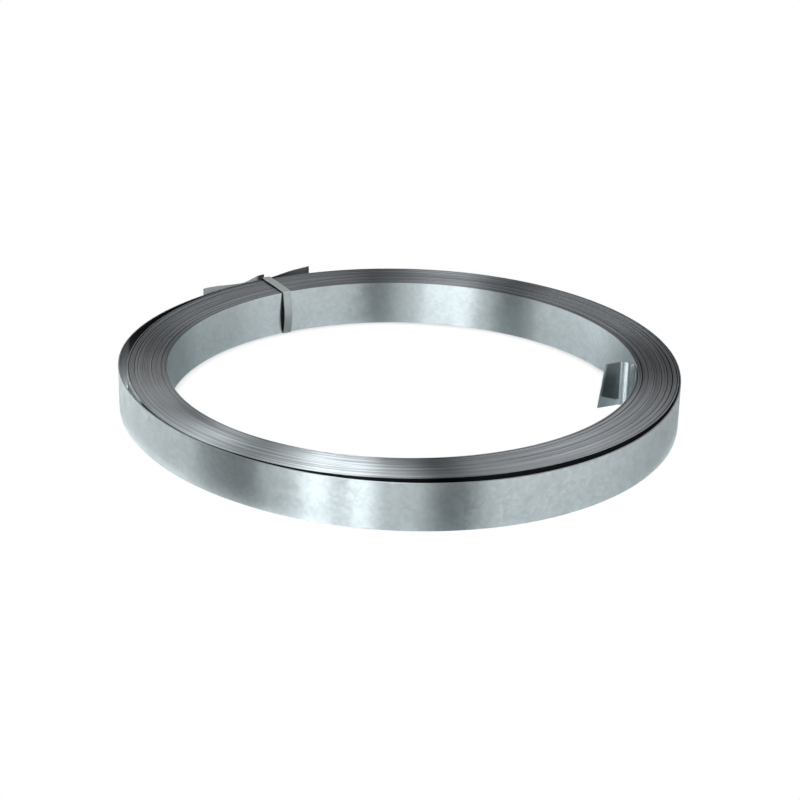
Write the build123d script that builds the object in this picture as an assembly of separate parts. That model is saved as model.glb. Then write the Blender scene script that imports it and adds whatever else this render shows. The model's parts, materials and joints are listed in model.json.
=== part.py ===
from build123d import *
import math
import os

# A roll of narrow galvanised steel strip, wound flat and lying on its side with its axis
# upright. All sizes are millimetres and +Z is up. The front of the coil faces -Y.
#
# The wound turns are one turned solid with a round bore. A turn stands flush or a little
# proud of its neighbours, so both ends show rings. The last turn has sprung loose: it leaves
# the roll at the right, passes round the front and the left, is caught by the tie strap at
# the back and ends just past it. The first turn ends in a short hook inside the bore.

# Strip
STRIP_WIDTH = 30.0
STRIP_THICKNESS = 0.8

# Winding
BORE_DIAMETER = 300.0
WOUND_TURNS = 28
TURN_AIR = 0.22             # air left between two wound turns
TURN_STEP = 0.3             # a turn is flush, or one or two such steps proud

# Loose outer turn, with angles in degrees clockwise from the place where it leaves the roll
LEAVING_ANGLE = -10.0       # that place, measured anticlockwise from +X
ROOT_ANGLE = 14.0           # run over which the strip comes out of the roll
NEAREST_GAP = 0.3           # air where the loose turn comes closest to the roll
FRONT_GAP = 6.7             # air at the middle of the front bulge
FRONT_BULGE_END = 118.0
BACK_GAP = 3.1              # air that opens at the left and stays up to the tie
BACK_GAP_START = 132.0
BACK_GAP_FULL = 178.0
END_LENGTH = 38.0           # strip that sticks out past the tie
END_SPRING = 12.0           # how far the end has sprung outwards there
END_CURL = 1.3              # 1 leaves the tie at a sharp angle, 2 leaves it smoothly
LOOSE_ARCS = 20             # arcs that its line is made of up to the tie
END_ARCS = 3                # and past it

# Hooked inner end
HOOK_ANGLE = -0.5
HOOK_BEND_RADIUS = 5.5      # inside of the bend
HOOK_BEND_ANGLE = 113.0
HOOK_SHORT_SIDE = 10.4      # straight part along the top edge
HOOK_LONG_SIDE = 14.7       # straight part along the bottom edge
HOOK_LEAD = 14.0            # strip before the bend, which runs into the roll
HOOK_SINK = 0.3

# Tie strap
TIE_WIDTH = 6.0
TIE_THICKNESS = 0.5
TIE_ANGLE = 122.5           # anticlockwise from +X
TIE_CLEARANCE = 0.3
TIE_ABOVE_FLOOR = 0.1
TIE_TOP_BOW = 1.6           # slack of the top run
TIE_INNER_BOW = 3.0         # slack of the run inside the bore
TIE_TAIL_LENGTH = 54.0
TIE_TAIL_DROP = 0.6         # the tail leaves the loop this far below the strip's top edge
TIE_TAIL_RISE = 4.9         # and climbs this far to its cut end
TIE_TAIL_BEVEL = 2.0        # slant of its cut end

BORE_RADIUS = BORE_DIAMETER / 2
TURN_PITCH = STRIP_THICKNESS + TURN_AIR
ROLL_RADIUS = BORE_RADIUS + WOUND_TURNS * TURN_PITCH
PROUD_TOP = STRIP_WIDTH + 2 * TURN_STEP
TIE_TRAVEL = LEAVING_ANGLE - TIE_ANGLE + 360
TIE_SEAT_RADIUS = ROLL_RADIUS + NEAREST_GAP + BACK_GAP + STRIP_THICKNESS
TIE_OUTER_RADIUS = TIE_SEAT_RADIUS + TIE_CLEARANCE
SPRING_TRAVEL = TIE_TRAVEL + math.degrees((TIE_WIDTH / 2 + TIE_CLEARANCE) / TIE_SEAT_RADIUS)
END_TRAVEL = TIE_TRAVEL + math.degrees(END_LENGTH / TIE_SEAT_RADIUS)
HOOK_OUTER_RADIUS = HOOK_BEND_RADIUS + STRIP_THICKNESS


def turn_lift(turn):
    """Height of one turn's lower edge: none, one or two steps, in uneven groups"""
    return TURN_STEP * round(1 + math.sin(turn * turn / 39 + 5.4))


def turn_rings():
    """Inner radius, outer radius and lift of each group of turns that stand at one height"""
    rings = []
    for turn in range(WOUND_TURNS):
        inner = BORE_RADIUS + turn * TURN_PITCH
        outer = inner + TURN_PITCH
        lift = turn_lift(turn)
        if rings and rings[-1][2] == lift:
            rings[-1][1] = outer
        else:
            rings.append([inner, outer, lift])
    return rings


def wound_turns():
    """The roll: half its section, with a step for each group of turns, turned about the axis"""
    top = []
    base = []
    for inner, outer, lift in turn_rings():
        top += [(inner, STRIP_WIDTH + lift), (outer, STRIP_WIDTH + lift)]
        base += [(inner, lift), (outer, lift)]
    outline = Polyline(*base, *reversed(top), close=True)
    return revolve(make_face(Plane.XZ * outline), Axis.Z, 360)


def ease(value):
    """0 below 0, 1 above 1, and an even S curve between them"""
    value = min(max(value, 0.0), 1.0)
    return value * value * (3 - 2 * value)


def loose_gap(travel):
    """Air between the roll and the loose turn, by degrees clockwise from where it leaves"""
    root = ease((travel + ROOT_ANGLE) / (2 * ROOT_ANGLE))
    sunk = STRIP_THICKNESS + TURN_AIR / 2
    gap = NEAREST_GAP * root - sunk * (1 - root)
    if 0 < travel < FRONT_BULGE_END:
        gap += FRONT_GAP * math.sin(math.pi * travel / FRONT_BULGE_END) ** 2
    gap += BACK_GAP * ease((travel - BACK_GAP_START) / (BACK_GAP_FULL - BACK_GAP_START))
    if travel > SPRING_TRAVEL:
        share = (travel - SPRING_TRAVEL) / (END_TRAVEL - SPRING_TRAVEL)
        gap += END_SPRING * share**END_CURL
    return gap


def even_steps(first, last, arcs):
    """Angles from first up to last, two steps for each arc, without last itself"""
    return [first + (last - first) * step / (2 * arcs) for step in range(2 * arcs)]


def loose_line(from_inner_face):
    """A line along the loose turn this far from its inner face, as arcs end to end"""
    travels = even_steps(-ROOT_ANGLE, SPRING_TRAVEL, LOOSE_ARCS)
    travels += even_steps(SPRING_TRAVEL, END_TRAVEL, END_ARCS) + [END_TRAVEL]
    points = []
    for travel in travels:
        angle = math.radians(LEAVING_ANGLE - travel)
        radius = ROLL_RADIUS + loose_gap(travel) + from_inner_face
        points.append((radius * math.cos(angle), radius * math.sin(angle)))
    return [ThreePointArc(*points[start : start + 3]) for start in range(0, len(points) - 1, 2)]


def loose_turn():
    """The last turn and the strip's outer end: a curved band between two smooth lines"""
    inner = loose_line(0)
    outer = loose_line(STRIP_THICKNESS)
    ends = [Line(inner[0] @ 0, outer[0] @ 0), Line(inner[-1] @ 1, outer[-1] @ 1)]
    return extrude(make_face([*inner, *outer, *ends]), STRIP_WIDTH, dir=(0, 0, 1))


def hooked_end():
    """The strip's inner end: bent into the bore and cut off at a slant"""
    centre_x = BORE_RADIUS + HOOK_SINK - HOOK_OUTER_RADIUS
    bend_start = (centre_x + HOOK_BEND_RADIUS + STRIP_THICKNESS / 2, 0)
    lead = Line((bend_start[0], -HOOK_LEAD), bend_start)
    bend = CenterArc((centre_x, 0), HOOK_BEND_RADIUS + STRIP_THICKNESS / 2, 0, HOOK_BEND_ANGLE)
    straight = Line(bend @ 1, (bend @ 1) + (bend % 1) * HOOK_LONG_SIDE)
    band = extrude(trace([lead, bend, straight], STRIP_THICKNESS), STRIP_WIDTH, dir=(0, 0, 1))
    tail_plane = Plane(straight @ 0, x_dir=bend % 1, z_dir=(bend % 1).cross(Vector(0, 0, 1)))
    spare = 2 * HOOK_OUTER_RADIUS
    offcut = Polyline(
        (HOOK_LONG_SIDE, 0),
        (HOOK_LONG_SIDE + spare, 0),
        (HOOK_LONG_SIDE + spare, STRIP_WIDTH),
        (HOOK_SHORT_SIDE, STRIP_WIDTH),
        close=True,
    )
    band -= extrude(make_face(tail_plane * offcut), STRIP_THICKNESS, both=True)
    return Rot(0, 0, HOOK_ANGLE) * Pos(0, 0, turn_lift(0)) * band


def tie_relief():
    """The shallow space across the underside that the tie strap lies in"""
    start = BORE_RADIUS - TIE_CLEARANCE - TIE_THICKNESS
    length = TIE_OUTER_RADIUS + TIE_THICKNESS - start
    width = TIE_WIDTH + 2 * TIE_CLEARANCE
    height = TIE_ABOVE_FLOOR + TIE_THICKNESS + TIE_CLEARANCE
    block = Box(length, width, height, align=(Align.MIN, Align.CENTER, Align.MIN))
    return Rot(0, 0, TIE_ANGLE) * Pos(start, 0, 0) * block


def strip_coil():
    """The whole strip: wound turns, loose turn and hooked inner end"""
    return wound_turns() + loose_turn() + hooked_end() - tie_relief()


def tie_loop():
    """The tie round the strip's section: a closed band, slack on top and inside the bore"""
    inner = BORE_RADIUS - TIE_CLEARANCE
    outer = TIE_OUTER_RADIUS
    low = TIE_ABOVE_FLOOR + TIE_THICKNESS
    high = PROUD_TOP + TIE_CLEARANCE
    middle = (inner + outer) / 2
    outline = [
        Line((inner, low), (outer, low)),
        Line((outer, low), (outer, high)),
        ThreePointArc((outer, high), (middle, high + TIE_TOP_BOW), (inner, high)),
        ThreePointArc((inner, high), (inner - TIE_INNER_BOW, (low + high) / 2), (inner, low)),
    ]
    inside = make_face(outline)
    around = offset(inside, TIE_THICKNESS, kind=Kind.ARC)
    section = Plane.XZ * (around - inside)
    return Rot(0, 0, TIE_ANGLE) * extrude(section, TIE_WIDTH / 2, both=True)


def tie_tail():
    """The tie's free end: it follows the outside of the coil to the left and rises"""
    high = STRIP_WIDTH - TIE_TAIL_DROP
    shell = Cylinder(TIE_OUTER_RADIUS + TIE_THICKNESS, 3 * STRIP_WIDTH)
    shell -= Cylinder(TIE_OUTER_RADIUS, 3 * STRIP_WIDTH)
    reach = TIE_OUTER_RADIUS * math.sin(TIE_TAIL_LENGTH / TIE_OUTER_RADIUS)
    outline = Polyline(
        (0, high - TIE_WIDTH),
        (reach, high - TIE_WIDTH + TIE_TAIL_RISE),
        (reach - TIE_TAIL_BEVEL, high + TIE_TAIL_RISE),
        (0, high),
        close=True,
    )
    side = Plane((0, 0, 0), x_dir=(0, 1, 0), z_dir=(1, 0, 0))
    blank = extrude(make_face(side * outline), 2 * TIE_OUTER_RADIUS)
    return Rot(0, 0, TIE_ANGLE) * (shell & blank)


def tie_strap():
    """The tie strap: the loop and its tail, one piece of thin band"""
    return tie_loop() + tie_tail()


os.makedirs("parts", exist_ok=True)
pieces = {"strip_coil": strip_coil(), "tie_strap": tie_strap()}
boxes = [piece.bounding_box() for piece in pieces.values()]
middle_x = (min(box.min.X for box in boxes) + max(box.max.X for box in boxes)) / 2
middle_y = (min(box.min.Y for box in boxes) + max(box.max.Y for box in boxes)) / 2
to_footprint_centre = Pos(-middle_x, -middle_y, 0)
print("coil axis at", -middle_x, -middle_y)
for name, piece in pieces.items():
    export_step(to_footprint_centre * piece, f"parts/{name}.step")
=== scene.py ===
"""A roll of narrow galvanised steel strip, tied with one thin strap, modelled as one long strip.

The strip is a closed section carried along a path. Seen from above the path starts at the free
end of the hook inside the bore, runs straight, turns through the hook's bend, winds outwards
clockwise for all the wound turns and the loose last turn, and ends where the outer end has
sprung away past the tie.
"""
import json
import math

import bpy
import numpy as np
from mathutils import Matrix, Vector

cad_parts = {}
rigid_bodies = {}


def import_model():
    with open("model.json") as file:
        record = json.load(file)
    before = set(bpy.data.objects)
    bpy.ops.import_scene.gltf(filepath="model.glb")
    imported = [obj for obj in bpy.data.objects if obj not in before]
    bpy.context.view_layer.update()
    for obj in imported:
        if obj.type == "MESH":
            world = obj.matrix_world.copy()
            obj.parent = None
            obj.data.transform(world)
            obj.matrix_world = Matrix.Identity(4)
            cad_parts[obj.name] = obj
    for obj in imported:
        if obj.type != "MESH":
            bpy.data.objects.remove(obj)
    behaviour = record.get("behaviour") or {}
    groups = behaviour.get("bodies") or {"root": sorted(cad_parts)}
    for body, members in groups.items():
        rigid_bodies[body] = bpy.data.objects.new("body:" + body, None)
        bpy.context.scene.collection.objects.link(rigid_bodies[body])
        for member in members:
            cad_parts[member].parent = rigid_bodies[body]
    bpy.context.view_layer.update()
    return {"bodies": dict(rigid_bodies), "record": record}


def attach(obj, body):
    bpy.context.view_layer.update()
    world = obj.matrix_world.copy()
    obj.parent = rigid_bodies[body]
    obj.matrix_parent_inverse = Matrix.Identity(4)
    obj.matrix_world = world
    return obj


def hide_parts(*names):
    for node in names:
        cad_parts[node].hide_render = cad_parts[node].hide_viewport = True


bl_info = {
    "name": "Steel strip coil",
    "version": (1, 0, 0),
    "blender": (4, 5, 0),
    "location": "View3D > Sidebar > Steel coil",
    "description": "Builds a tied roll of galvanised steel strip and the studio it stands in",
    "category": "Object",
}

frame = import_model()
BODY = sorted(frame["bodies"])[0]
BORE_BOX = np.array(frame["record"]["physics"]["openings"][0]["box_m"])
AXIS = BORE_BOX[:, :2].mean(axis=0)
MM = 0.001
FULL_TURN = 2 * math.pi

# The hook is where the strip starts, and the loose turn leaves the roll at a lower angle.
# All three are measured anticlockwise from +X, seen from above.
HOOK_DEGREES = -0.4
LEAVING_DEGREES = -10.0
TIE_DEGREES = 122.5

# Steps of the mesh along the path. They are shorter over the last part of a turn, and none is
# so short that it makes a sliver.
STEPS_PER_TURN = 180
BEND_STEPS = 24
HOOK_STEPS = 6
FINE_RUN = 0.05
FINE_STEP = 0.25
SLIVER = 0.002

# Outside of the wound roll: its mean radius, and the cosine and sine parts of one wave and of
# two waves round it
ROLL_RADIUS = 178.34 * MM
ONE_WAVE = (1.02 * MM, 1.98 * MM)
TWO_WAVES = (-1.30 * MM, -0.82 * MM)

# Turns after which the winding is slack and shows a dark gap, counted from the bore, the width
# of each gap against the others, and the part of a turn over which it opens
SLACK_TURNS = (0.9, 3.8, 7.2, 11.1, 14.0, 16.5, 20.6, 23.3, 27.0)
SLACK_WEIGHTS = (1.1, 1.4, 0.6, 1.1, 0.6, 1.0, 1.0, 1.3, 1.9)
SLACK_RAMP = 0.4

# Share of the winding's air that lies evenly, and what the back and the front add to it
EVEN_SHARE = 0.1
EVEN_AT_BACK = 0.65
EVEN_AT_FRONT = 0.3

# Three waves of the turns' heights, each as size, waves in a turn and phase. Then their share
# at the middle, what the right adds and the left takes off, and what the back takes off.
LIFT_WAVES = ((1.0, 0.37, 1.0), (0.8, 0.83, 0.3), (0.6, 0.191, 2.0))
LIFT_SHARE = 0.55
LIFT_AT_RIGHT = 0.3
LIFT_OFF_BACK = 0.3

# Places on the loose turn are degrees clockwise from where it leaves the roll
TIE_TRAVEL = LEAVING_DEGREES - TIE_DEGREES + 360
ON_THE_ROLL = (-10, 18)
FRONT_BULGE = (-3.5, 126)
LEFT_BULGE = (132, 220)

# Air that stays under the loose turn past the left, and a little that is there before it
BACK_AIR = 0.9 * MM
BACK_AIR_OPENS = (150, 210)
LEFT_AIR = 0.4 * MM
LEFT_AIR_OPENS = (60, 90)
LEFT_AIR_CLOSES = (200, 160)

# The end springs out from just past the tie: this share evenly, the rest with the square. Its
# length is turned into degrees this far outside the roll. It rises over the first degrees.
SPRING_START = 0.6
SPRING_EVEN = 0.6
END_OFF_ROLL = 2 * MM
END_RISE = 1.4 * MM
END_RISE_RUN = 8

# A point lies on a flat face where its normal has more than this across the strip
SQUARE_ON = 0.999

# The tie lifts the lower edges of the turns that it passes under to this height, over this
# distance each side of it, and less over the next
TIE_LIFT = 0.68 * MM
TIE_LIFT_HALF = 7 * MM
TIE_LIFT_EASE = 14 * MM

# The gap at the left has no painted shade for this many degrees each side of its middle, where
# light falls in
UNSHADED_TRAVEL = 162
UNSHADED_HALF = 16.5

# The sprung end has a little less painted shade, from the tie on over this many degrees
END_SHADE_LESS = 0.16
END_SHADE_LESS_RUN = 9

# The hook's inner face carries painted shade above a line that climbs towards its cut edge, up to
# this step of its bend
SHADE_ABOVE = (3.6 * MM, 4.4 * MM)
SHADE_RISE = 4.2 * MM
SHADE_STEPS = 4
HOOK_SHADE = 0.82
CUT_SHADE = 0.35

# Tie strap: the radius of the strip that it passes round, its air to the bore, the floor and
# the inner top edge, the reach of its bends, the bow of its top run, the corners of its
# section, and the mesh steps of a bend and of a straight run
TIE_SEAT = 183.06 * MM
TIE_AIR = 0.3 * MM
TIE_ABOVE_FLOOR = 0.1 * MM
TIE_TOP_AIR = 0.75 * MM
TIE_BEND = 0.9 * MM
TIE_TOP_BOW = 0.35 * MM
TIE_CORNER = 0.12 * MM
TIE_BEND_STEPS = 6
TIE_RUN_STEPS = 24

# Its tail, by the distance from the loop's middle: it comes down from the fold, then climbs
TAIL_START = 1 * MM
TAIL_POINTS = 60
TAIL_ABOVE = 0.2 * MM
TAIL_DROP = 3.2 * MM
TAIL_DROPS = (3 * MM, 19 * MM)
TAIL_CLIMBS = (16 * MM, 56 * MM)
# Painted shade on the tail's first part: full up to the first distance, gone past the second
TAIL_SHADE = 0.9
TAIL_SHADE_ENDS = (5 * MM, 8 * MM)


def linear(code):
    """Turns an sRGB hex colour into the linear values that Blender keeps"""
    parts = [int(code[i : i + 2], 16) / 255 for i in (0, 2, 4)]
    return [c / 12.92 if c <= 0.04045 else ((c + 0.055) / 1.055) ** 2.4 for c in parts] + [1.0]


def ease(x):
    """0 below 0, 1 above 1, and 3x2 - 2x3 between them"""
    x = np.clip(x, 0.0, 1.0)
    return x * x * (3 - 2 * x)


def between(x, start, end):
    """0 on start's side, 1 on end's side, and eased between them"""
    return ease((x - start) / (end - start))


def hump(x, start, end):
    """The square of a half sine wave from start to end, and 0 outside"""
    inside = np.clip((x - start) / (end - start), 0.0, 1.0)
    return np.sin(math.pi * inside) ** 2


def length(name, text, default):
    """A length that the user can set"""
    return bpy.props.FloatProperty(
        name=name, description=text, default=default, unit="LENGTH", subtype="DISTANCE", precision=5
    )


def colour(name, text, code):
    """A colour that the user can set, with its default as an sRGB hex code"""
    return bpy.props.FloatVectorProperty(
        name=name, description=text, default=linear(code), size=4, subtype="COLOR", min=0, max=1
    )


class StripSizes(bpy.types.PropertyGroup):
    """Sizes of the strip and of its two free ends"""

    width: length("Width", "Width of the strip, which is the coil's height", 30 * MM)
    thickness: length("Thickness", "Thickness of the strip", 0.8 * MM)
    bore: length("Bore radius", "Radius of the bore", 150 * MM)
    turns: bpy.props.IntProperty(name="Turns", description="Wound turns", default=28, min=2)
    rollover: length("Outer corner", "Radius that slitting leaves on the outer corners", 0.24 * MM)
    burr: length("Inner corner", "Radius of the sharper inner corners", 0.06 * MM)
    lift: length("Turn lift", "How far a turn may stand proud of the lowest", 0.58 * MM)
    front_bulge: length("Front bulge", "Air under the loose turn at the front", 5.9 * MM)
    back_bulge: length("Left bulge", "Air under the loose turn at the left", 4.7 * MM)
    spring: length("Sprung end", "How far the outer end has sprung out", 8.7 * MM)
    end: length("Outer end", "Length of strip past the tie", 36.5 * MM)
    hook_radius: length("Hook bend", "Radius of the hook's bend at mid thickness", 7.6 * MM)
    hook_top: length("Hook, top edge", "Straight part of the hook along its top edge", 9.0 * MM)
    hook_base: length("Hook, lower edge", "Straight part along its lower edge", 13.3 * MM)
    hook_bend: bpy.props.FloatProperty(
        name="Hook angle",
        description="Angle that the hook is bent through",
        default=math.radians(116),
        subtype="ANGLE",
        unit="ROTATION",
    )


class TieSizes(bpy.types.PropertyGroup):
    """Sizes of the tie strap"""

    width: length("Width", "Width of the tie strap", 6 * MM)
    thickness: length("Thickness", "Thickness of the tie strap", 0.5 * MM)
    inner_bow: length("Inner bow", "Slack of the run inside the bore", 2.1 * MM)
    lift: length("Fold height", "Height of the fold above the strip's top edge", 1.2 * MM)
    skew: length("Skew", "How far the inner fold lies to the left of the outer one", 1.3 * MM)
    tail: length("Tail", "Length of the tail behind the coil", 54 * MM)
    tail_rise: length("Tail rise", "How far the tail climbs above the strip's edge", 3.9 * MM)


class Finishes(bpy.types.PropertyGroup):
    """Colours of the metals and of the floor"""

    zinc: colour("Zinc", "Skin-passed zinc on the strip's faces", "C9D3D6")
    zinc_dark: colour("Zinc, dark grains", "Darker grains of the zinc", "B8C2C5")
    # Colour of the painted shade: between the turns, in the gap under the loose turn, on the hook,
    # on the tie's side towards the coil and its tail's start, and on one side of the slit edges
    painted_shade_colour: colour("Oiled metal", "Metal that is dark with mill oil", "1E2224")
    edge: colour("Slit edge", "Bare steel of the slit edges", "9DA2A6")
    edge_dark: colour("Slit edge, dark", "Duller stretches of the slit edges", "74777A")
    # Colour of the painted highlight on the slit edges of the outermost turns and of one side
    edge_highlight: colour("Wiped edge", "Slit edges that are rubbed bright", "CDD5D9")
    tie: colour("Tie strap", "Dull zinc on the tie strap", "A9AFB0")
    floor: colour("Floor", "Plain pale floor", "F4F5F6")


class StudioLevels(bpy.types.PropertyGroup):
    """Levels of the light"""

    tent: bpy.props.FloatProperty(
        name="Tent", description="Light of the tent's plain cloth, where 1 is white", default=2.6
    )
    panels: bpy.props.FloatProperty(
        name="Panels", description="Light of the two bright panels, where 1 is white", default=7.2
    )
    ceiling: bpy.props.FloatProperty(
        name="Ceiling", description="Light of the room above, where 1 is white", default=0.18
    )


# Path of the strip


def roll_radius(angle):
    """Outside of the wound roll: a circle with one wave and two waves added round it"""
    radius = ROLL_RADIUS + ONE_WAVE[0] * np.cos(angle) + ONE_WAVE[1] * np.sin(angle)
    return radius + TWO_WAVES[0] * np.cos(2 * angle) + TWO_WAVES[1] * np.sin(2 * angle)


def air_share(turn, angle, turns):
    """Share of the winding's air that lies under a turn: partly even, partly in slack steps.

    The even share is largest at the back of the coil, where the turns lie evenly, and least at
    the left and right, where slack turns leave gaps.
    """
    steps = sum(
        weight * ease((turn - place) / SLACK_RAMP + 0.5)
        for place, weight in zip(SLACK_TURNS, SLACK_WEIGHTS)
    )
    back = np.sin(angle)
    even = EVEN_SHARE + EVEN_AT_BACK * ease(back) + EVEN_AT_FRONT * ease(-back)
    return even * turn / turns + (1 - even) * steps / sum(SLACK_WEIGHTS)


def turn_lift(turn, angle, most):
    """Height of a turn's lower edge: half of the most, and three sine waves along the strip.

    The waves' share is largest at the right, less at the front and least at the left and the
    back. It is below 1, so that the height stays above 0 and below the most.
    """
    waves = sum(size * np.sin(FULL_TURN * rate * turn + phase) for size, rate, phase in LIFT_WAVES)
    waves /= sum(size for size, rate, phase in LIFT_WAVES)
    share = LIFT_SHARE + LIFT_AT_RIGHT * np.cos(angle) - LIFT_OFF_BACK * ease(np.sin(angle))
    return most * (1 + share * waves) / 2


def spiral_radius(turn, angle, travel, sizes):
    """Outer face of the strip.

    It is the bore, a thickness for each turn so far and the share of the air at this angle.
    Past the leaving point come one more thickness, the loose turn's bulges and air, and the
    sprung end. travel is in degrees clockwise from the leaving point.
    """
    thickness = sizes.thickness
    wound = np.minimum(turn, sizes.turns)
    air = roll_radius(angle) - sizes.bore - (sizes.turns + 0.5) * thickness
    radius = sizes.bore + thickness * (wound + 1) + air * air_share(wound, angle, sizes.turns)
    radius += thickness * between(travel, *ON_THE_ROLL)
    radius += sizes.front_bulge * hump(travel, *FRONT_BULGE)
    radius += sizes.back_bulge * hump(travel, *LEFT_BULGE)
    radius += BACK_AIR * between(travel, *BACK_AIR_OPENS)
    radius += LEFT_AIR * between(travel, *LEFT_AIR_OPENS) * between(travel, *LEFT_AIR_CLOSES)
    start = TIE_TRAVEL + SPRING_START
    past = np.clip((travel - start) / (end_travel(sizes) - start), 0, 1)
    return radius + sizes.spring * (SPRING_EVEN * past + (1 - SPRING_EVEN) * past**2)


def end_travel(sizes):
    """Degrees from the leaving point to the outer end"""
    tie_radius = roll_radius(math.radians(TIE_DEGREES)) + END_OFF_ROLL
    return TIE_TRAVEL + math.degrees(sizes.end / tie_radius)


def strip_path(sizes):
    """Stations of the strip: centres, outward sides, turns, reaches along the hook and travels.

    The last value is the direction in which the hook's straight part runs.
    """
    leave_turn = sizes.turns + (HOOK_DEGREES - LEAVING_DEGREES) / 360
    last_turn = leave_turn + end_travel(sizes) / 360
    turn = np.arange(0, last_turn, 1 / STEPS_PER_TURN)
    fine = np.arange(last_turn - FINE_RUN, last_turn, FINE_STEP / STEPS_PER_TURN)
    turn = np.unique(np.concatenate([turn[turn < fine[0] - SLIVER], fine, [last_turn]]))
    angle = math.radians(HOOK_DEGREES) - FULL_TURN * turn
    travel = 360 * (turn - leave_turn)
    radius = spiral_radius(turn, angle, travel, sizes) - sizes.thickness / 2
    spiral = np.stack([radius * np.cos(angle), radius * np.sin(angle)], axis=1)

    start = spiral[0]
    radial = start / np.linalg.norm(start)
    centre = start - sizes.hook_radius * radial
    first = math.atan2(radial[1], radial[0])
    sweep = first + np.linspace(sizes.hook_bend, 0, BEND_STEPS, endpoint=False)
    side_bend = np.stack([np.cos(sweep), np.sin(sweep)], axis=1)
    bend = centre + sizes.hook_radius * side_bend
    heading = first + sizes.hook_bend + math.pi / 2
    reach = np.linspace(1, 0, HOOK_STEPS, endpoint=False)
    hook = np.repeat(bend[:1], HOOK_STEPS, axis=0)

    centres = np.concatenate([hook, bend, spiral])
    side_hook = np.repeat(side_bend[:1], HOOK_STEPS, axis=0)
    along = np.gradient(spiral, axis=0)
    along /= np.linalg.norm(along, axis=1, keepdims=True)
    side_spiral = np.stack([-along[:, 1], along[:, 0]], axis=1)
    sides = np.concatenate([side_hook, side_bend, side_spiral])
    none = np.zeros(HOOK_STEPS + BEND_STEPS)
    turns = np.concatenate([none, turn])
    reaches = np.concatenate([reach, np.zeros(BEND_STEPS + len(turn))])
    travels = np.concatenate([none - 360 * leave_turn, travel])
    direction = np.array([math.cos(heading), math.sin(heading)])
    return centres, sides, turns, reaches, travels, direction


# Meshes


def rounded_section(thickness, width, outer, inner, marks=()):
    """Section with quarter circles at its corners: points and normals, as across and up.

    It goes round once from the outer face. outer and inner are the radius and the mesh steps
    of the corners on each face. marks are heights, from the highest down, of more points on
    the inner face.
    """
    half = thickness / 2
    corners = [
        (half - outer[0], width - outer[0], 0, *outer),
        (inner[0] - half, width - inner[0], 90, *inner),
        (inner[0] - half, inner[0], 180, *inner),
        (half - outer[0], outer[0], 270, *outer),
    ]
    points = []
    normals = []
    for x, y, start, radius, steps in corners:
        if start == 180:
            points += [[-half, mark] for mark in marks]
            normals += [[-1.0, 0.0] for mark in marks]
        turned = np.radians(np.linspace(start, start + 90, steps + 1))
        facing = np.stack([np.cos(turned), np.sin(turned)], axis=1)
        points += (facing * radius + (x, y)).tolist()
        normals += facing.tolist()
    return np.array(points), np.array(normals)


def carried(section, normals, centres, out, up):
    """Section carried along stations: each point is the centre plus its share of out and up"""
    out = out[:, None]
    up = up[:, None]
    points = centres[:, None] + section[:, :1] * out + section[:, 1:] * up
    shading = normals[:, :1] * out + normals[:, 1:] * up
    return points, shading


def run_lengths(points, closed):
    """Distance along the stations, by the middle of each section"""
    middle = points.mean(axis=1)
    if closed:
        middle = np.concatenate([middle, middle[:1]])
    steps = np.linalg.norm(np.diff(middle, axis=0), axis=1)
    return np.concatenate([[0], np.cumsum(steps)])


def skin(name, points, shading, section, slots, materials, painted_shade, closed=False):
    """Mesh between neighbouring sections, capped at both ends, with its own normals and UVs.

    U is the distance along the piece and V the distance round its section, both in metres, so
    that a pattern's scale is a real one. slots gives each quad's material by its place round
    the section, and painted_shade how much painted shade each point has, from 0 to 1. A cap has the
    last material.
    """
    stations, around = points.shape[:2]
    last = stations if closed else stations - 1
    i = np.repeat(np.arange(last), around)
    j = np.tile(np.arange(around), last)
    i_next = (i + 1) % stations
    j_next = (j + 1) % around
    quads = np.stack(
        [i * around + j, i * around + j_next, i_next * around + j_next, i_next * around + j], axis=1
    )
    run = run_lengths(points, closed)
    u = np.stack([run[i], run[i], run[i + 1], run[i + 1]], axis=1)
    girth = np.linalg.norm(np.roll(section, -1, axis=0) - section, axis=1)
    girth = np.concatenate([[0], np.cumsum(girth)])
    v = girth[np.stack([j, j + 1, j + 1, j], axis=1)]
    uv = np.stack([u, v], axis=2).reshape(-1, 2)
    flat = shading.reshape(-1, 3)
    loops = flat[quads.ravel()]
    faces = quads.tolist()
    slots = np.broadcast_to(slots, (last, around)).ravel()
    if not closed:
        upper = around // 4
        first_cap = (np.arange(around)[::-1], -np.cross(shading[0, 0], shading[0, upper]))
        last_ring = np.arange(around) + (stations - 1) * around
        last_cap = (last_ring, np.cross(shading[-1, 0], shading[-1, upper]))
        for order, normal in (first_cap, last_cap):
            faces.append(order.tolist())
            normal = normal / np.linalg.norm(normal)
            loops = np.concatenate([loops, np.repeat(normal[None], around, axis=0)])
            uv = np.concatenate([uv, section])
        slots = np.concatenate([slots, [len(materials) - 1] * 2])
    mesh = bpy.data.meshes.new(name)
    mesh.from_pydata(points.reshape(-1, 3).tolist(), [], faces)
    for material in materials:
        mesh.materials.append(material)
    mesh.polygons.foreach_set("material_index", slots.astype(np.int32))
    mesh.polygons.foreach_set("use_smooth", np.ones(len(faces), dtype=bool))
    layer = mesh.uv_layers.new(name="along_and_up")
    layer.data.foreach_set("uv", uv.astype(np.float32).ravel())
    shade_values = mesh.attributes.new("painted_shade", "FLOAT", "POINT")
    shade_values.data.foreach_set("value", np.ascontiguousarray(painted_shade, dtype=np.float32).ravel())
    mesh.validate()
    mesh.normals_split_custom_set(loops.tolist())
    mesh.update()
    piece = bpy.data.objects.new(name, mesh)
    bpy.context.scene.collection.objects.link(piece)
    return piece


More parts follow.
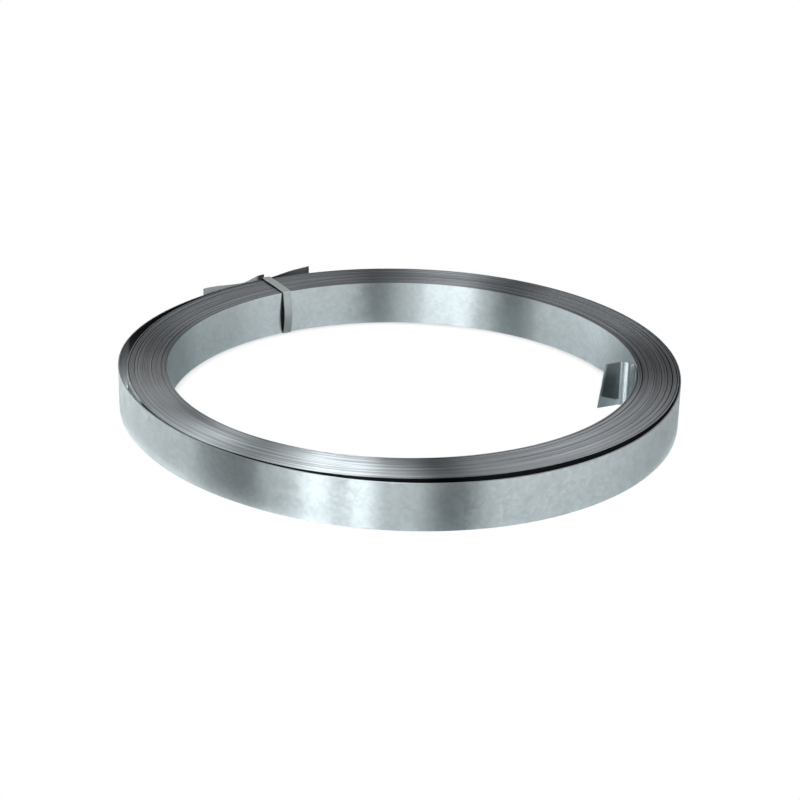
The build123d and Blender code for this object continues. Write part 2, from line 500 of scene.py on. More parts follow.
def strip_piece(sizes, materials):
    """The whole strip: its section carried along the path.

    The hook's straight part is sheared, from its long lower edge to its short top edge. Each
    station is raised by its turn's lift, the lower edges are raised over the tie, and the
    sprung end rises a little.
    """
    centres, sides, turns, reaches, travels, direction = strip_path(sizes)
    count = len(centres)
    section, normals = rounded_section(
        sizes.thickness, sizes.width, (sizes.rollover, 3), (sizes.burr, 1), SHADE_ABOVE[::-1]
    )
    flat = np.zeros((count, 3))
    flat[:, :2] = centres + AXIS
    out = np.zeros((count, 3))
    out[:, :2] = sides
    up = np.repeat([[0.0, 0.0, 1.0]], count, axis=0)
    points, shading = carried(section, normals, flat, out, up)

    # Points that mark the lower line of the hook's painted shade climb towards its cut edge
    marked = np.isin(section[:, 1], SHADE_ABOVE)
    heights = section[:, 1] + SHADE_RISE * marked * reaches[:, None]
    straight = sizes.hook_base + (sizes.hook_top - sizes.hook_base) * heights / sizes.width
    points[:, :, :2] += (reaches[:, None] * straight)[:, :, None] * direction
    points[:, :, 2] += heights - section[:, 1]

    lift = turn_lift(turns, np.arctan2(centres[:, 1], centres[:, 0]), sizes.lift)
    from_tie = np.abs(angle_between(points, TIE_DEGREES)) * sizes.bore
    over_tie = 1 - between(from_tie, TIE_LIFT_HALF, TIE_LIFT_HALF + TIE_LIFT_EASE)
    raise_by = np.maximum(TIE_LIFT - lift, 0)[:, None] * over_tie
    points[:, :, 2] += lift[:, None] + raise_by * (section[:, 1] < sizes.width / 2)
    rise = END_RISE * between(travels, TIE_TRAVEL, TIE_TRAVEL + END_RISE_RUN)
    points[:, :, 2] += rise[:, None]

    flat_face = np.abs(normals[:, 0] + np.roll(normals[:, 0], -1)) > 2 * SQUARE_ON
    # Painted shade between the turns, in the gap under the loose turn and on the hook
    painted_shade = strip_painted_shade(sizes, turns, travels, reaches, section, normals)
    slots = np.where(flat_face, 0, 1)
    return skin("galvanised_strip", points, shading, section, slots, materials, painted_shade)


def strip_painted_shade(sizes, turns, travels, reaches, section, normals):
    """Share of painted shade on each point, which darkens it as if no light reached it.

    It is 1 on the faces between the turns and on both sides of the gap under the loose turn, 0 in
    the stretch of that gap at the left where light falls in, a little less than 1 at the sprung
    end, and part on the hook's flat, above a line that climbs towards its cut edge.
    """
    unshaded = np.abs(travels - UNSHADED_TRAVEL) < UNSHADED_HALF
    unshaded_roll = np.abs(travels + 360 - UNSHADED_TRAVEL) < UNSHADED_HALF
    lightened = END_SHADE_LESS * between(travels, TIE_TRAVEL, TIE_TRAVEL + END_SHADE_LESS_RUN)
    inner = np.where((turns > 1) & ~unshaded, 1 - lightened, 0)
    outer = np.where((turns > 0) & (travels < end_travel(sizes) - 360) & ~unshaded_roll, 1.0, 0)
    inner_face = normals[:, 0] < -SQUARE_ON
    outer_face = normals[:, 0] > SQUARE_ON
    shade_values = np.where(np.arange(len(turns)) < HOOK_STEPS + SHADE_STEPS, HOOK_SHADE, 0)
    shade_values[0] = CUT_SHADE
    painted_shade = inner[:, None] * inner_face + outer[:, None] * outer_face
    return painted_shade + shade_values[:, None] * (inner_face & (section[:, 1] >= SHADE_ABOVE[1]))


def angle_between(points, degrees):
    """Angle about the coil's axis from a given direction, in radians, between -pi and pi"""
    rel = points[:, :, :2] - AXIS
    turned = np.arctan2(rel[:, :, 1], rel[:, :, 0]) - math.radians(degrees)
    return (turned + math.pi) % FULL_TURN - math.pi


def tie_loop_path(tie, strip):
    """Stations round the strip's section, as distance from the axis and height.

    Four runs, with a parabola at each corner. The run over the top bows up by half a sine wave,
    and the run inside the bore bows away from the coil by half a sine wave that is deepest a
    little below its middle.
    """
    half = tie.thickness / 2
    inner = strip.bore - TIE_AIR - half
    outer = TIE_SEAT + half
    low = TIE_ABOVE_FLOOR + half
    top_inner = strip.width + TIE_TOP_AIR + half
    top_outer = strip.width + tie.lift
    corners = np.array([(inner, low), (outer, low), (outer, top_outer), (inner, top_inner)])
    ahead = np.roll(corners, -1, axis=0) - corners
    ahead /= np.linalg.norm(ahead, axis=1, keepdims=True)
    turned = np.linspace(0, 1, TIE_BEND_STEPS + 1)[:, None]
    share = np.linspace(0, 1, TIE_RUN_STEPS + 1)[1:-1, None]
    path = []
    for k, here in enumerate(corners):
        bend = turned**2 * ahead[k] - (1 - turned) ** 2 * ahead[k - 1]
        first = here + TIE_BEND * ahead[k]
        second = corners[(k + 1) % 4] - TIE_BEND * ahead[k]
        path += [here + TIE_BEND * bend, first + (second - first) * share]
    top_run, inner_run = path[5], path[7]
    top_run[:, 1:] += TIE_TOP_BOW * np.sin(math.pi * share)
    inner_run[:, :1] -= tie.inner_bow * np.sin(math.pi * share**1.25)
    return np.concatenate(path)


def tie_piece(tie, strip, materials):
    """The tie strap: a closed band round the strip, and its tail along the back of the coil.

    The band is the section carried along the loop's path, slid sideways by the skew from the
    outside to the bore. The tail follows a circle, and its top edge falls and climbs with
    eased steps. The band's inner side, towards the coil, and the tail's first part carry painted
    shade.
    """
    path = tie_loop_path(tie, strip)
    count = len(path)
    angle = math.radians(TIE_DEGREES)
    outwards = np.array([math.cos(angle), math.sin(angle), 0])
    sideways = np.array([-math.sin(angle), math.cos(angle), 0])
    upwards = np.array([0, 0, 1.0])
    across = (path[:, :1] - path[:, 0].min()) / np.ptp(path[:, 0])
    centres = path[:, :1] * outwards + path[:, 1:] * upwards + tie.skew * (1 - across) * sideways
    centres[:, :2] += AXIS
    along = np.roll(path, -1, axis=0) - np.roll(path, 1, axis=0)
    along /= np.linalg.norm(along, axis=1, keepdims=True)
    normal = along[:, 1:] * outwards - along[:, :1] * upwards
    side = np.repeat(sideways[None], count, axis=0)
    corner = (TIE_CORNER, 2)
    section, normals = rounded_section(tie.thickness, tie.width, corner, corner)
    section[:, 1] -= tie.width / 2
    points, shading = carried(section, normals, centres, normal, side)
    # Painted shade on the band's side towards the coil
    painted_shade = np.repeat([normals[:, 0] < -0.5], count, axis=0)
    loop = skin("tie_loop", points, shading, section, 0, materials, painted_shade, closed=True)

    travelled = np.linspace(TAIL_START, tie.tail, TAIL_POINTS)
    radius = TIE_SEAT + tie.thickness
    around = angle + travelled / radius
    top = strip.width + TAIL_ABOVE + TAIL_DROP * (1 - between(travelled, *TAIL_DROPS))
    top += tie.tail_rise * between(travelled, *TAIL_CLIMBS)
    out = np.stack([np.cos(around), np.sin(around), 0 * around], axis=1)
    down = np.repeat([[0.0, 0.0, -1.0]], len(around), axis=0)
    centres = out * radius + upwards * (top - tie.width / 2)[:, None]
    centres[:, :2] += AXIS
    points, shading = carried(section, normals, centres, out, down)
    # Painted shade on the tail's first part, by the fold
    painted_shade = np.repeat(TAIL_SHADE * (1 - between(travelled, *TAIL_SHADE_ENDS)), len(section))
    tail = skin("tie_tail", points, shading, section, 0, materials, painted_shade)
    return joined("tie_band", [loop, tail])


def joined(name, pieces):
    """One object made of several"""
    bpy.ops.object.select_all(action="DESELECT")
    for piece in pieces:
        piece.select_set(True)
    bpy.context.view_layer.objects.active = pieces[0]
    bpy.ops.object.join()
    pieces[0].name = name
    pieces[0].data.name = name
    return pieces[0]


# Materials

# Real sizes of the patterns, in millimetres: zinc grains, the clouds over them, the length and
# spacing of rolling lines, stretches of slit edge, and mottle on the tie
GRAIN_WIDTH = 2.2
CLOUD_WIDTH = 9
ROLLING_LINE = (60, 0.25)
EDGE_STRETCH = 160
MOTTLE_WIDTH = 1.5

# Range over which a grain of zinc may lean, as the sine of the angle
GRAIN_LEAN = 0.018

# The slit edges carry a painted highlight, which sets in between these distances along the strip,
# and between these distances from the middle towards one side, all in metres. It stays beyond.
HIGHLIGHT_RUN = (28.0, 28.3)
HIGHLIGHT_DEGREES = -116
HIGHLIGHT_REACH = (0.130, 0.160)

# Painted shade darkens them round this direction, between these cosines, by this share at most
SHADED_DEGREES = -155
SHADED_COSINES = (0.88, 0.97)
SHADE_SHARE = 0.45


def node(tree, kind, settings=None, values=None, links=None):
    """Adds a node, sets its properties and its input values, and links inputs from sockets"""
    made = tree.nodes.new(kind)
    for key, value in (settings or {}).items():
        setattr(made, key, value)
    for key, value in (values or {}).items():
        made.inputs[key].default_value = value
    for key, source in (links or {}).items():
        tree.links.new(source, made.inputs[key])
    return made


def fresh_material(name):
    """A material with an empty node tree"""
    material = bpy.data.materials.new(name)
    material.use_nodes = True
    material.node_tree.nodes.clear()
    return material


def skin_passed_zinc(finish):
    """Hot-dipped galvanised strip, skin-passed: bright zinc with small flat grains.

    Rolling leaves fine lines along the strip, which smear a reflection up and down and keep
    its sides crisp. A grain's share of the lighter zinc is 0.8 of the cloud there and 0.55 of
    the grain's own value, less 0.05. The lighter grains are also the rougher ones, and each
    grain leans its own way.
    """
    material = fresh_material("skin_passed_zinc")
    tree = material.node_tree
    place = node(tree, "ShaderNodeUVMap", {"uv_map": "along_and_up"})
    per_mm = node(
        tree, "ShaderNodeVectorMath", {"operation": "SCALE"}, {"Scale": 1 / MM},
        {0: place.outputs[0]},
    )
    grains = node(
        tree, "ShaderNodeTexVoronoi", {"voronoi_dimensions": "2D"}, {"Scale": 1 / GRAIN_WIDTH},
        {"Vector": per_mm.outputs[0]},
    )
    cloud = node(
        tree, "ShaderNodeTexNoise", {"noise_dimensions": "2D"},
        {"Scale": 1 / CLOUD_WIDTH, "Detail": 4.0, "Roughness": 0.6},
        {"Vector": per_mm.outputs[0]},
    )
    grain_value = node(
        tree, "ShaderNodeSeparateColor", links={"Color": grains.outputs["Color"]}
    )
    mixed = node(
        tree, "ShaderNodeMath", {"operation": "MULTIPLY_ADD"}, {1: 0.55, 2: -0.05},
        {0: grain_value.outputs[0]},
    )
    share = node(
        tree, "ShaderNodeMath", {"operation": "MULTIPLY_ADD", "use_clamp": True}, {1: 0.8},
        {0: cloud.outputs["Fac"], 2: mixed.outputs[0]},
    )
    tint = node(tree, "ShaderNodeMix", {"data_type": "RGBA"}, {}, {"Factor": share.outputs[0]})
    tint.inputs[6].default_value = finish.zinc_dark
    tint.inputs[7].default_value = finish.zinc
    # Painted shade: this attribute darkens the zinc towards the shade colour between the turns, in
    # the gap under the loose turn and on the hook
    painted_shade = node(tree, "ShaderNodeAttribute", {"attribute_name": "painted_shade"})
    base = node(
        tree, "ShaderNodeMix", {"data_type": "RGBA"}, {},
        {"Factor": painted_shade.outputs["Fac"], 6: tint.outputs[2]},
    )
    base.inputs[7].default_value = finish.painted_shade_colour
    streaks = node(
        tree, "ShaderNodeMapping", {"vector_type": "POINT"},
        {"Scale": (1 / ROLLING_LINE[0], 1 / ROLLING_LINE[1], 1)}, {"Vector": per_mm.outputs[0]},
    )
    lines = node(
        tree, "ShaderNodeTexNoise", {"noise_dimensions": "2D"}, {"Scale": 1.0, "Detail": 3.0},
        {"Vector": streaks.outputs[0]},
    )
    rough = node(
        tree, "ShaderNodeMapRange", values={"To Min": 0.32, "To Max": 0.38},
        links={"Value": share.outputs[0]},
    )
    bump = node(
        tree, "ShaderNodeBump", values={"Strength": 0.25, "Distance": 0.12 * MM},
        links={"Height": lines.outputs["Fac"]},
    )
    dimple = node(
        tree, "ShaderNodeBump", values={"Strength": 0.12, "Distance": 0.05 * MM},
        links={"Height": share.outputs[0], "Normal": bump.outputs[0]},
    )
    lean = node(
        tree, "ShaderNodeVectorMath", {"operation": "MULTIPLY_ADD"},
        {1: [GRAIN_LEAN] * 3, 2: [-GRAIN_LEAN / 2] * 3}, {0: grains.outputs["Color"]},
    )
    leaning = node(
        tree, "ShaderNodeVectorMath", {"operation": "ADD"},
        links={0: dimple.outputs[0], 1: lean.outputs[0]},
    )
    facing = node(
        tree, "ShaderNodeVectorMath", {"operation": "NORMALIZE"}, links={0: leaning.outputs[0]}
    )
    tangent = node(
        tree, "ShaderNodeTangent", {"direction_type": "UV_MAP", "uv_map": "along_and_up"}
    )
    shader = node(
        tree, "ShaderNodeBsdfPrincipled",
        values={"Metallic": 1.0, "Anisotropic": 1.0, "Anisotropic Rotation": 0.25},
        links={
            "Base Color": base.outputs[2],
            "Roughness": rough.outputs[0],
            "Normal": facing.outputs[0],
            "Tangent": tangent.outputs[0],
        },
    )
    node(tree, "ShaderNodeOutputMaterial", links={"Surface": shader.outputs[0]})
    return material


def slit_edge_steel(finish):
    """Bare low-carbon steel where the strip was slit: duller and darker than the zinc.

    How dark it is changes along the strip, so that neighbouring turns differ. The outermost
    turns and one side carry an uneven painted highlight, and painted shade darkens another
    side.
    """
    material = fresh_material("slit_edge_steel")
    tree = material.node_tree
    place = node(tree, "ShaderNodeUVMap", {"uv_map": "along_and_up"})
    stretches = node(
        tree, "ShaderNodeMapping", values={"Scale": (1 / (EDGE_STRETCH * MM), 0, 0)},
        links={"Vector": place.outputs[0]},
    )
    slow = node(
        tree, "ShaderNodeTexNoise", {"noise_dimensions": "2D"}, {"Scale": 1.0, "Detail": 3.0},
        {"Vector": stretches.outputs[0]},
    )
    share = node(
        tree, "ShaderNodeMapRange", values={"From Min": 0.3, "From Max": 0.7},
        links={"Value": slow.outputs["Fac"]},
    )
    tint = node(tree, "ShaderNodeMix", {"data_type": "RGBA"}, {}, {"Factor": share.outputs[0]})
    tint.inputs[6].default_value = finish.edge_dark
    tint.inputs[7].default_value = finish.edge
    # Painted highlight on the outermost turns' edges and on one side, uneven along the strip
    outermost = node(
        tree, "ShaderNodeMapRange", values={"From Min": HIGHLIGHT_RUN[0], "From Max": HIGHLIGHT_RUN[1]},
        links={"Value": place.outputs[0]},
    )
    point = node(tree, "ShaderNodeTexCoord")
    highlight_angle = math.radians(HIGHLIGHT_DEGREES)
    towards = node(
        tree, "ShaderNodeVectorMath", {"operation": "DOT_PRODUCT"},
        {1: (math.cos(highlight_angle), math.sin(highlight_angle), 0)}, {0: point.outputs["Object"]},
    )
    highlit_side = node(
        tree, "ShaderNodeMapRange", {"interpolation_type": "SMOOTHSTEP"},
        {"From Min": HIGHLIGHT_REACH[0], "From Max": HIGHLIGHT_REACH[1]},
        {"Value": towards.outputs["Value"]},
    )
    either = node(
        tree, "ShaderNodeMath", {"operation": "MAXIMUM"},
        links={0: outermost.outputs[0], 1: highlit_side.outputs[0]},
    )
    uneven = node(
        tree, "ShaderNodeMapRange",
        values={"From Min": 0.42, "From Max": 0.58, "To Min": 0.35, "To Max": 1.0},
        links={"Value": slow.outputs["Fac"]},
    )
    brightened = node(
        tree, "ShaderNodeMath", {"operation": "MULTIPLY"},
        links={0: either.outputs[0], 1: uneven.outputs[0]},
    )
    lightened = node(
        tree, "ShaderNodeMix", {"data_type": "RGBA"}, {},
        {"Factor": brightened.outputs[0], 6: tint.outputs[2]},
    )
    lightened.inputs[7].default_value = finish.edge_highlight
    # Painted shade on the slit edges round one side
    bearing = node(
        tree, "ShaderNodeVectorMath", {"operation": "NORMALIZE"},
        links={0: point.outputs["Object"]},
    )
    shaded_angle = math.radians(SHADED_DEGREES)
    beside = node(
        tree, "ShaderNodeVectorMath", {"operation": "DOT_PRODUCT"},
        {1: (math.cos(shaded_angle), math.sin(shaded_angle), 0)}, {0: bearing.outputs[0]},
    )
    side_shade = node(
        tree, "ShaderNodeMapRange", {"interpolation_type": "SMOOTHSTEP"},
        {"From Min": SHADED_COSINES[0], "From Max": SHADED_COSINES[1], "To Max": SHADE_SHARE},
        {"Value": beside.outputs["Value"]},
    )
    shaded_edge = node(
        tree, "ShaderNodeMix", {"data_type": "RGBA"}, {},
        {"Factor": side_shade.outputs[0], 6: lightened.outputs[2]},
    )
    shaded_edge.inputs[7].default_value = finish.painted_shade_colour
    tangent = node(
        tree, "ShaderNodeTangent", {"direction_type": "UV_MAP", "uv_map": "along_and_up"}
    )
    shader = node(
        tree, "ShaderNodeBsdfPrincipled",
        values={
            "Metallic": 1.0, "Roughness": 0.5, "Anisotropic": 1.0, "Anisotropic Rotation": 0.25,
        },
        links={"Base Color": shaded_edge.outputs[2], "Tangent": tangent.outputs[0]},
    )
    node(tree, "ShaderNodeOutputMaterial", links={"Surface": shader.outputs[0]})
    return material


def dull_zinc_band(finish):
    """Galvanised tie band, dull: its reflections are soft and even, and painted shade darkens its
    side towards the coil and the start of its tail
    """
    material = fresh_material("dull_zinc_band")
    tree = material.node_tree
    place = node(tree, "ShaderNodeUVMap", {"uv_map": "along_and_up"})
    per_mm = node(
        tree, "ShaderNodeVectorMath", {"operation": "SCALE"}, {"Scale": 1 / MM},
        {0: place.outputs[0]},
    )
    cloud = node(
        tree, "ShaderNodeTexNoise", {"noise_dimensions": "2D"},
        {"Scale": 1 / MOTTLE_WIDTH, "Detail": 4.0}, {"Vector": per_mm.outputs[0]},
    )
    rough = node(
        tree, "ShaderNodeMapRange", values={"To Min": 0.6, "To Max": 0.7},
        links={"Value": cloud.outputs["Fac"]},
    )
    # Painted shade on the band's side towards the coil and on the tail's first part
    painted_shade = node(tree, "ShaderNodeAttribute", {"attribute_name": "painted_shade"})
    base = node(
        tree, "ShaderNodeMix", {"data_type": "RGBA"}, {}, {"Factor": painted_shade.outputs["Fac"]}
    )
    base.inputs[6].default_value = finish.tie
    base.inputs[7].default_value = finish.painted_shade_colour
    shader = node(
        tree, "ShaderNodeBsdfPrincipled", values={"Metallic": 1.0},
        links={"Roughness": rough.outputs[0], "Base Color": base.outputs[2]},
    )
    node(tree, "ShaderNodeOutputMaterial", links={"Surface": shader.outputs[0]})
    return material


# Studio

# Half of the floor's side, in metres
FLOOR_HALF = 20.0

# The coil's shadow shows in view round the middle of the wound turns, fades between these
# distances from it, and is mixed with this share of white where it is full
WOUND_MIDDLE = 164.5 * MM
SHADOW_FADE = (11.5 * MM, 19.5 * MM)
SHADOW_WHITE = 0.5

# The ring of floor that shows between the roll and the loose turn, which is white: painted light,
# since it lies in the coil's shadow
GAP_RADIUS = 179.5 * MM
GAP_HALF = 3.2 * MM

# Distances from the axis between which the floor turns white in the metal
MIRRORED_WHITE = (0.30, 0.50)

# The tent is an open cylinder: its radius, its lower and upper edges, and its mesh
TENT_RADIUS = 0.65
TENT_LOW = 0.03
TENT_HIGH = 0.90
TENT_COLUMNS = 360
TENT_ROWS = 24

# Azimuth 0 is towards the camera, and it grows to the camera's right. A panel or a dark sector
# is its middle, half width and soft edge. A panel's light grows by PANEL_RISE times its level
# low down, with the square of the height.
PANELS = ((-32.8, 2.8, 2.0), (-16.9, 2.4, 1.0))
PANEL_RISE = 3.0
DARK_SECTORS = ((-65.0, 11.0, 3.0), (15.5, 6.0, 6.0), (-24.6, 0.9, 2.8), (-9.4, 0.8, 2.6))
SECTOR_DIM = 0.99

# The tent changes from its low part to its high part between these heights
LOW_TO_HIGH = (0.31, 0.41)

# Azimuths between which the light of a part changes by a share, and stays so to the back
HIGH_BACK = (95, 115)
HIGH_BACK_DIM = 0.35
HIGH_LEFT_DIM = 0.35
RIGHT_SIDE = (70, 120)
RIGHT_SIDE_DIM = 0.38
LOW_LEFT = (90, 120)
LOW_LEFT_GAIN = 0.4
LOW_BACK = (126, 156)
LOW_BACK_DIM = 0.93


def window(azimuth, centre, half, soft):
    """1 within half of the centre, easing to 0 over the soft edge"""
    away = np.abs((azimuth - centre + 180) % 360 - 180)
    return 1 - ease((away - half) / soft)


def tent_light(azimuth, height, studio):
    """Light of the tent: plain cloth with dark sectors, and two panels that brighten upwards.

    The back is dimmer high up, most at the left, and almost dark low down. The right side is
    dimmer and the low part of the left side is brighter.
    """
    light = np.full_like(azimuth, studio.tent)
    for sector in DARK_SECTORS:
        light *= 1 - SECTOR_DIM * window(azimuth, *sector)
    bright = sum(window(azimuth, *panel) for panel in PANELS)
    rising = 1 + PANEL_RISE * (height / TENT_HIGH) ** 2
    light += (studio.panels * rising - studio.tent) * np.minimum(bright, 1)
    away = np.abs(azimuth)
    high = between(height, *LOW_TO_HIGH)
    back_dim = HIGH_BACK_DIM + HIGH_LEFT_DIM * (azimuth < 0)
    light *= 1 - back_dim * between(away, *HIGH_BACK) * high
    gain = LOW_LEFT_GAIN * between(-azimuth, *LOW_LEFT) * (1 - high)
    light *= 1 - RIGHT_SIDE_DIM * between(azimuth, *RIGHT_SIDE) + gain
    return light * (1 - LOW_BACK_DIM * between(away, *LOW_BACK) * (1 - high))


def light_tent(studio):
    """A cylinder of cloth round the coil. It lights the coil and shows in it, not in the view"""
    column = np.linspace(0, 360, TENT_COLUMNS, endpoint=False)
    row = np.linspace(TENT_LOW, TENT_HIGH, TENT_ROWS)
    azimuth, height = np.meshgrid(column, row, indexing="ij")
    turned = np.radians(azimuth)
    points = np.stack(
        [TENT_RADIUS * np.sin(turned) + AXIS[0], -TENT_RADIUS * np.cos(turned) + AXIS[1], height],
        axis=2,
    )
    light = tent_light((azimuth + 180) % 360 - 180, height, studio)
    i, j = np.meshgrid(np.arange(TENT_COLUMNS), np.arange(TENT_ROWS - 1), indexing="ij")
    here = i * TENT_ROWS + j
    beside = (i + 1) % TENT_COLUMNS * TENT_ROWS + j
    quads = np.stack([here, here + 1, beside + 1, beside], axis=2).reshape(-1, 4)
    mesh = bpy.data.meshes.new("light_tent")
    mesh.from_pydata(points.reshape(-1, 3).tolist(), [], quads.tolist())
    level = mesh.attributes.new("light", "FLOAT", "POINT")
    level.data.foreach_set("value", light.astype(np.float32).ravel())
    material = fresh_material("lit_cloth")
    tree = material.node_tree
    read = node(tree, "ShaderNodeAttribute", {"attribute_name": "light"})
    glow = node(tree, "ShaderNodeEmission", links={"Strength": read.outputs["Fac"]})
    node(tree, "ShaderNodeOutputMaterial", links={"Surface": glow.outputs[0]})
    mesh.materials.append(material)
    tent = bpy.data.objects.new("light_tent", mesh)
    bpy.context.scene.collection.objects.link(tent)
    tent.visible_camera = False
    tent.visible_diffuse = False
    return tent


def pale_floor(finish):
    """A plain pale matt floor, shown white in most places.

    In view it is white, apart from half of its shadow near the coil's walls. The metal sees it
    white away from the coil, and as it is lit near the coil. The ring of floor under the loose
    turn is white for both, though it lies in the coil's shadow: painted light, which the metal of
    the gap reflects.
    """
    mesh = bpy.data.meshes.new("floor")
    corners = [(-1, -1), (1, -1), (1, 1), (-1, 1)]
    mesh.from_pydata([(x * FLOOR_HALF, y * FLOOR_HALF, 0) for x, y in corners], [], [(0, 1, 2, 3)])
    material = fresh_material("pale_floor")
    tree = material.node_tree
    paths = node(tree, "ShaderNodeLightPath")
    by_metal = node(
        tree, "ShaderNodeMath", {"operation": "MAXIMUM"},
        links={0: paths.outputs["Is Glossy Ray"], 1: paths.outputs["Is Transmission Ray"]},
    )
    place = node(tree, "ShaderNodeTexCoord")
    from_axis = node(
        tree, "ShaderNodeVectorMath", {"operation": "SUBTRACT"}, {1: (*AXIS, 0)},
        {0: place.outputs["Object"]},
    )
    away = node(
        tree, "ShaderNodeVectorMath", {"operation": "LENGTH"}, links={0: from_axis.outputs[0]}
    )
    past_middle = node(
        tree, "ShaderNodeMath", {"operation": "SUBTRACT"}, {1: WOUND_MIDDLE},
        {0: away.outputs["Value"]},
    )
    off_middle = node(
        tree, "ShaderNodeMath", {"operation": "ABSOLUTE"}, links={0: past_middle.outputs[0]}
    )
    near = node(
        tree, "ShaderNodeMapRange", {"interpolation_type": "SMOOTHSTEP"},
        {"From Min": SHADOW_FADE[0], "From Max": SHADOW_FADE[1], "To Min": SHADOW_WHITE},
        {"Value": off_middle.outputs[0]},
    )
    far = node(
        tree, "ShaderNodeMapRange", {"interpolation_type": "SMOOTHSTEP"},
        {"From Min": MIRRORED_WHITE[0], "From Max": MIRRORED_WHITE[1]},
        {"Value": away.outputs["Value"]},
    )
    # Painted light: this ring stays white though it lies in the coil's shadow
    in_gap = node(
        tree, "ShaderNodeMath", {"operation": "COMPARE"}, {1: GAP_RADIUS, 2: GAP_HALF},
        {0: away.outputs["Value"]},
    )
    near = node(
        tree, "ShaderNodeMath", {"operation": "MAXIMUM"},
        links={0: near.outputs[0], 1: in_gap.outputs[0]},
    )
    far = node(
        tree, "ShaderNodeMath", {"operation": "MAXIMUM"},
        links={0: far.outputs[0], 1: in_gap.outputs[0]},
    )
    in_view = node(
        tree, "ShaderNodeMath", {"operation": "MULTIPLY"},
        links={0: paths.outputs["Is Camera Ray"], 1: near.outputs[0]},
    )
    in_metal = node(
        tree, "ShaderNodeMath", {"operation": "MULTIPLY"},
        links={0: by_metal.outputs[0], 1: far.outputs[0]},
    )
    share = node(
        tree, "ShaderNodeMath", {"operation": "MAXIMUM"},
        links={0: in_view.outputs[0], 1: in_metal.outputs[0]},
    )
    matt = node(tree, "ShaderNodeBsdfDiffuse", {}, {"Color": finish.floor})
    white = node(tree, "ShaderNodeEmission", {}, {"Color": (1, 1, 1, 1), "Strength": 1.0})
    both = node(
        tree, "ShaderNodeMixShader",
        links={0: share.outputs[0], 1: matt.outputs[0], 2: white.outputs[0]},
    )
    node(tree, "ShaderNodeOutputMaterial", links={"Surface": both.outputs[0]})
    mesh.materials.append(material)
    floor = bpy.data.objects.new("floor", mesh)
    bpy.context.scene.collection.objects.link(floor)
    return floor


def room(studio):
    """The room above the tent: one plain soft grey"""
    world = bpy.data.worlds.new("room")
    world.use_nodes = True
    back = world.node_tree.nodes["Background"]
    back.inputs["Color"].default_value = (1, 1, 1, 1)
    back.inputs["Strength"].default_value = studio.ceiling
    bpy.context.scene.world = world


# Camera, fitted to the coil's circles: its place from the coil's axis on the floor, its turn,
# tilt and roll in degrees, and its lens in millimetres
CAMERA_PLACE = np.array([-1.631, -1219.83, 517.373]) * MM
CAMERA_YAW = 0.0414
CAMERA_PITCH = 22.853
CAMERA_ROLL = 1.1627
CAMERA_LENS = 91.757


def camera():
    """The camera, at the photograph's distance, height, tilt and small roll"""
    yaw, pitch, roll = (math.radians(a) for a in (CAMERA_YAW, CAMERA_PITCH, CAMERA_ROLL))
    level = math.cos(pitch)
    forward = Vector((math.sin(yaw) * level, math.cos(yaw) * level, -math.sin(pitch)))
    right = Vector((math.cos(yaw), -math.sin(yaw), 0))
    upward = right.cross(forward)
    rolled_right = right * math.cos(roll) + upward * math.sin(roll)
    rolled_up = upward * math.cos(roll) - right * math.sin(roll)
    turn = Matrix((rolled_right, rolled_up, -forward)).transposed().to_4x4()
    place = Vector((*(CAMERA_PLACE[:2] + AXIS), CAMERA_PLACE[2]))
    data = bpy.data.cameras.new("camera")
    data.lens = CAMERA_LENS
    data.sensor_width = 36.0
    data.clip_start = 0.05
    data.clip_end = 100.0
    made = bpy.data.objects.new("camera", data)
    made.matrix_world = Matrix.Translation(place) @ turn
    bpy.context.scene.collection.objects.link(made)
    bpy.context.scene.camera = made


# Operators and panel


class STEEL_OT_strip(bpy.types.Operator):
    """Makes the strip, from its hooked inner end to its sprung outer end"""

    bl_idname = "steel_coil.strip"
    bl_label = "Galvanised strip"

    def execute(self, context):
        scene = context.scene
        finish = scene.coil_finish
        materials = [skin_passed_zinc(finish), slit_edge_steel(finish)]
        piece = strip_piece(scene.coil_strip, materials)
        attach(piece, BODY)
        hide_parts("strip_coil")
        return {"FINISHED"}


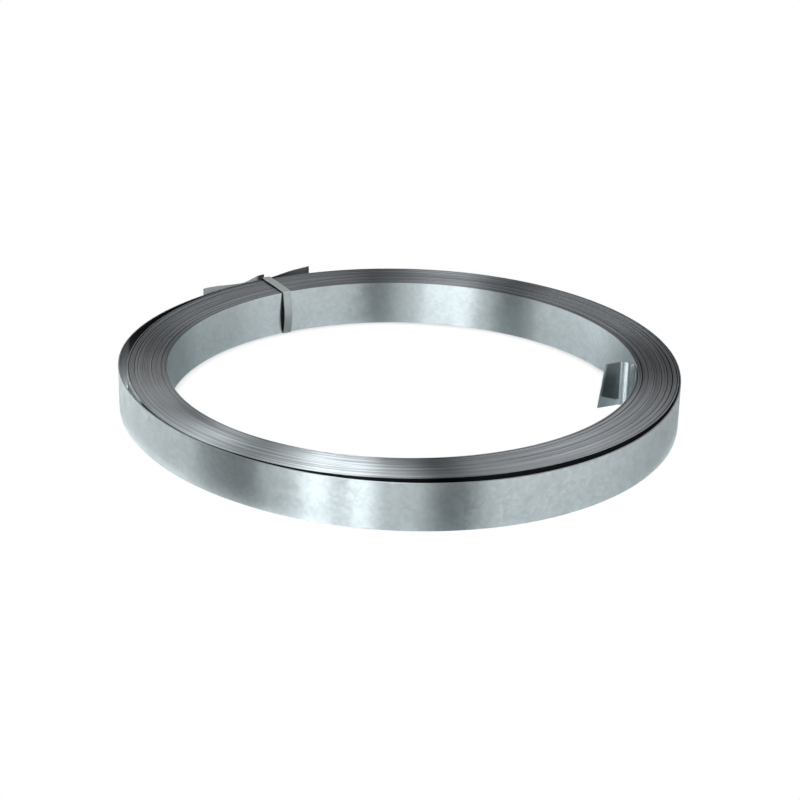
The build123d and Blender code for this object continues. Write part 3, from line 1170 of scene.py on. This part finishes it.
class STEEL_OT_tie(bpy.types.Operator):
    """Makes the tie strap with its tail"""

    bl_idname = "steel_coil.tie"
    bl_label = "Tie strap"

    def execute(self, context):
        scene = context.scene
        piece = tie_piece(scene.coil_tie, scene.coil_strip, [dull_zinc_band(scene.coil_finish)])
        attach(piece, BODY)
        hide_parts("tie_strap")
        return {"FINISHED"}


class STEEL_OT_studio(bpy.types.Operator):
    """Makes the floor, the light and the camera"""

    bl_idname = "steel_coil.studio"
    bl_label = "Studio"

    def execute(self, context):
        scene = context.scene
        pale_floor(scene.coil_finish)
        light_tent(scene.coil_studio)
        room(scene.coil_studio)
        camera()
        scene.view_settings.view_transform = "Standard"
        return {"FINISHED"}


class VIEW3D_PT_steel_coil(bpy.types.Panel):
    """Lists the coil's sizes and the steps that build it"""

    bl_idname = "VIEW3D_PT_steel_coil"
    bl_label = "Steel coil"
    bl_space_type = "VIEW_3D"
    bl_region_type = "UI"
    bl_category = "Steel coil"

    def draw(self, context):
        scene = context.scene
        for group in (scene.coil_strip, scene.coil_tie, scene.coil_finish, scene.coil_studio):
            box = self.layout.box()
            for key in group.bl_rna.properties.keys():
                if key not in ("rna_type", "name"):
                    box.prop(group, key)
        for step in STEPS:
            self.layout.operator(step.bl_idname)


GROUPS = {
    "coil_strip": StripSizes,
    "coil_tie": TieSizes,
    "coil_finish": Finishes,
    "coil_studio": StudioLevels,
}
STEPS = (STEEL_OT_strip, STEEL_OT_tie, STEEL_OT_studio)


def register():
    """Adds the groups of settings, the operators and the panel to Blender"""
    for name, group in GROUPS.items():
        bpy.utils.register_class(group)
        setattr(bpy.types.Scene, name, bpy.props.PointerProperty(type=group))
    for step in STEPS:
        bpy.utils.register_class(step)
    bpy.utils.register_class(VIEW3D_PT_steel_coil)


def unregister():
    """Takes them away again, in the opposite order"""
    bpy.utils.unregister_class(VIEW3D_PT_steel_coil)
    for step in reversed(STEPS):
        bpy.utils.unregister_class(step)
    for name, group in GROUPS.items():
        delattr(bpy.types.Scene, name)
        bpy.utils.unregister_class(group)


def main():
    """Registers the add-on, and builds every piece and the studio"""
    register()
    bpy.ops.steel_coil.strip()
    bpy.ops.steel_coil.tie()
    bpy.ops.steel_coil.studio()


if __name__ == "__main__":
    main()
